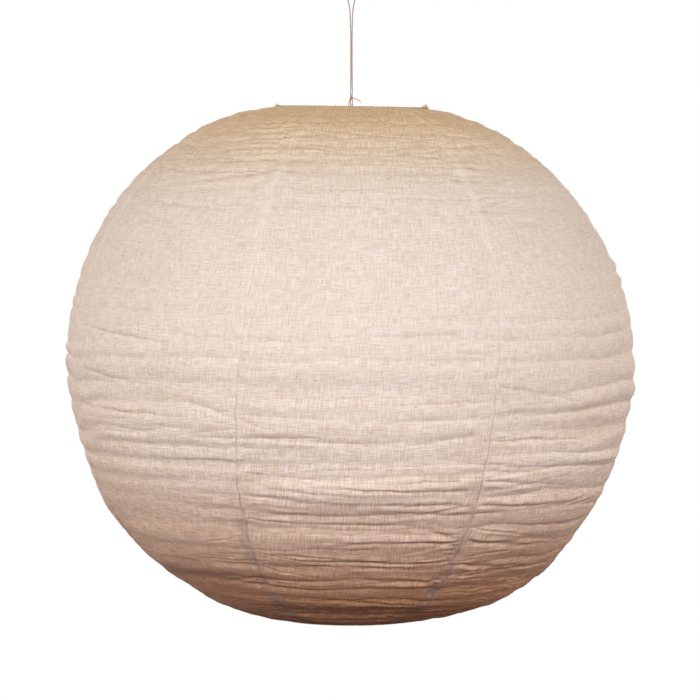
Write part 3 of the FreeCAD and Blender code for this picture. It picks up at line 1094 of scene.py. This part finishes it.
def make_rim_stitches(name, ring_z, body, tilted, first, last):
    """Overcast stitches round a binding, each a short thread over the roll.

    A stitch runs from the first angle to the last, in degrees up from the roll's outer side.
    """
    rng = np.random.default_rng(SEED + 80)
    parts = MeshParts()
    roll = RING_WIRE / 2 + STITCH_REACH
    for number in range(RIM_STITCHES):
        azimuth = FULL_TURN * (number + rng.uniform(-0.15, 0.15)) / RIM_STITCHES
        tilt = RIM_TILT * math.sin(azimuth) if tilted else 0.0
        part = np.radians(np.linspace(first, last, 9))
        turn = azimuth + np.linspace(-0.5, 0.5, 9) * STITCH_LEAN / RING_RADIUS
        radius = RING_RADIUS + roll * np.cos(part)
        z = ring_z + roll * np.sin(part) + tilt
        path = np.stack([radius * np.sin(turn), -radius * np.cos(turn), z], axis=1)
        parts.add_tube(path, STITCH_RADIUS, 5)
    piece = add_piece(name, parts.mesh(name), sewing_thread)
    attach(piece, body)


def make_tufts():
    """Thread wound round the crossbar's hooks, and its loose ends, at both ends of the rim."""
    rng = np.random.default_rng(SEED + 90)
    windings = MeshParts()
    ends = MeshParts()
    turn = np.radians(np.linspace(0, 360, 19))
    for side, fibres, size in ((-1, 5, 0.5), (1, 16, 0.8)):
        centre = np.array([side * (RING_RADIUS + 0.6 * MM), 0.0, RIM_Z + RIM_TILT * side])
        for loop in range(5):
            lean = rng.normal(0, 0.35)
            level = RING_WIRE / 2 + HOOK_COVER + (0.2 + 0.25 * loop) * size * MM
            reach = size * (1.1 - 0.16 * loop) * MM
            ring = np.stack([reach * np.cos(turn), reach * np.sin(turn),
                             level + lean * reach * np.cos(turn)], axis=1)
            windings.add_tube(centre + ring, 0.26 * MM, 6)
        for fibre in range(fibres):
            start = np.array([rng.normal(0, 0.5), rng.normal(0, 0.5), 0.4]) * size * MM
            start = start + centre + np.array([0, 0, RING_WIRE / 2 + HOOK_COVER])
            lean = np.array([rng.normal(0.2 * side, 0.6), rng.normal(-0.1, 0.5), rng.uniform(0.4, 1.0)])
            curl = rng.normal(0, 0.55, 3)
            steps = np.linspace(0, 1, 8)[:, None]
            path = start + (lean * steps + curl * steps ** 2) * 1.7 * size * MM
            ends.add_tube(path, 0.2 * MM, 4)
    for name, parts in (("hook_windings", windings), ("hook_thread_ends", ends)):
        piece = add_piece(name, parts.mesh(name), loose_thread)
        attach(piece, "shade")


# ---- CAD nodes that stay ----

def finish_frame_nodes():
    """Give the hoops and wires their materials."""
    for name, node in bpy.data.objects.items():
        if name.startswith("hoop_"):
            set_material(node, bamboo)
        if name in ("upper_ring", "lower_ring", "crossbar"):
            set_material(node, wire)


def set_material(node, material):
    """Put one material in every slot of a CAD node."""
    for slot in node.material_slots:
        slot.material = material
    if not node.material_slots:
        node.data.materials.append(material)


# ---- stage ----

def white_surface(name):
    """Plain white that looks the same from anywhere."""
    material = bpy.data.materials.new(name)
    material.use_nodes = True
    tree = material.node_tree
    tree.nodes.clear()
    glow = tree.nodes.new("ShaderNodeEmission")
    glow.inputs["Color"].default_value = (1, 1, 1, 1)
    out = tree.nodes.new("ShaderNodeOutputMaterial")
    tree.links.new(glow.outputs["Emission"], out.inputs["Surface"])
    return material


def make_floor():
    """Pale floor well below the hanging lantern."""
    size = 30.0
    floor_z = BASE_Z - 1.6
    corners = [(x * size, y * size, floor_z) for x, y in ((-1, -1), (1, -1), (1, 1), (-1, 1))]
    mesh = new_mesh("floor", corners, [(0, 1, 2, 3)])
    floor = bpy.data.objects.new("floor", mesh)
    link(floor)
    mesh.materials.append(white_surface("floor_white"))
    floor.visible_diffuse = False
    floor.visible_glossy = False
    floor.visible_shadow = False


def aimed(place, target):
    """The turn that points an object's -Z from a place to a target."""
    return (Vector(target) - Vector(place)).to_track_quat("-Z", "Y").to_euler()


def add_light(name, kind, place, power, colour):
    """A light at a place."""
    light = bpy.data.lights.new(name, kind)
    light.energy = power
    light.color = colour
    lamp = bpy.data.objects.new(name, light)
    lamp.location = place
    link(lamp)
    return lamp


def area_light(name, place, size, power, colour):
    """A square soft light aimed at the shade's middle."""
    lamp = add_light(name, "AREA", place, power, colour)
    lamp.data.size = size
    lamp.rotation_euler = aimed(place, (0, 0, MIDDLE_Z))


def make_lights():
    """A soft key from the upper left front, which models the folds, and a fill from the right.

    A faint warm glow inside stands for the light that comes in through the thin cloth.
    """
    glow = add_light("inside", "POINT", (0, 0, MIDDLE_Z), 1.4, (1.0, 0.80, 0.62))
    glow.data.shadow_soft_size = 0.12
    area_light("key", (-1.15, -2.8, MIDDLE_Z + 0.80), 1.0, 31.5, (0.93, 0.97, 1.0))
    area_light("fill", (2.3, -2.2, MIDDLE_Z + 1.05), 1.2, 20.0, (0.885, 0.925, 1.0))


# Light of the studio by height of the direction it comes from, from -1 straight up from
# below to 1 straight down: a bright band a little above level and warm dark ends.
SKY_BAND = [
    (-1.0, (0.06, 0.022, 0.008)),
    (-0.30, (0.06, 0.022, 0.010)),
    (-0.04, (0.80, 0.57, 0.46)),
    (0.13, (2.42, 2.18, 2.05)),
    (0.30, (1.82, 1.61, 1.46)),
    (0.46, (0.50, 0.38, 0.27)),
    (1.0, (0.16, 0.10, 0.05)),
]


def make_world():
    """White backdrop to the eye; as light, a bright band round the studio."""
    world = bpy.data.worlds.new("studio")
    bpy.context.scene.world = world
    world.use_nodes = True
    tree = world.node_tree
    tree.nodes.clear()
    kinds = ("TexCoord", "SeparateXYZ", "MapRange", "ValToRGB", "Background", "Background",
             "LightPath", "MixShader", "OutputWorld")
    direction, split, height, ramp_node, band, seen, rays, mix, out = (
        tree.nodes.new("ShaderNode" + kind) for kind in kinds)
    seen.inputs["Color"].default_value = (1, 1, 1, 1)
    height.inputs["From Min"].default_value = -1.0
    ramp_node.color_ramp.interpolation = "EASE"
    stops = ramp_node.color_ramp.elements
    while len(stops) < len(SKY_BAND):
        stops.new(1.0)
    for stop, (level, colour) in zip(stops, SKY_BAND):
        stop.position = (level + 1.0) / 2.0
        stop.color = (*colour, 1.0)
    for source, target in (
            (direction.outputs["Generated"], split.inputs[0]),
            (split.outputs["Z"], height.inputs["Value"]),
            (height.outputs["Result"], ramp_node.inputs["Fac"]),
            (ramp_node.outputs["Color"], band.inputs["Color"]),
            (rays.outputs["Is Camera Ray"], mix.inputs[0]),
            (band.outputs[0], mix.inputs[1]),
            (seen.outputs[0], mix.inputs[2]),
            (mix.outputs[0], out.inputs["Surface"])):
        tree.links.new(source, target)


CAMERA_DISTANCE = 4.2
PICTURE_WIDTH = 0.739
EYE_HEIGHT = 0.22
LOOK_ABOVE_MIDDLE = 0.0135
LOOK_ASIDE = -0.0015


def make_camera():
    """Long lens a little above the shade's equator."""
    camera = bpy.data.cameras.new("camera")
    camera.sensor_width = 36.0
    camera.lens = 36.0 * CAMERA_DISTANCE / PICTURE_WIDTH
    camera.clip_end = 100.0
    seat = bpy.data.objects.new("camera", camera)
    place = (LOOK_ASIDE, -CAMERA_DISTANCE, MIDDLE_Z + EYE_HEIGHT)
    seat.location = place
    seat.rotation_euler = aimed(place, (LOOK_ASIDE, 0.0, MIDDLE_Z + LOOK_ABOVE_MIDDLE))
    link(seat)
    bpy.context.scene.camera = seat
    bpy.context.scene.view_settings.view_transform = "Standard"


make_camera()
twine_piece, twine_path = make_twine()
knot_piece = make_knot()
make_shade()
make_binding("upper_binding_roll", RIM_Z, "shade", "upper_binding", True)
make_binding("lower_binding_roll", BASE_Z, "base", "lower_binding", False)
make_rim_stitches("upper_rim_stitches", RIM_Z, "shade", True, -35, 165)
make_rim_stitches("lower_rim_stitches", BASE_Z, "base", False, -105, -205)
make_tufts()
finish_frame_nodes()
make_floor()
make_lights()
make_world()
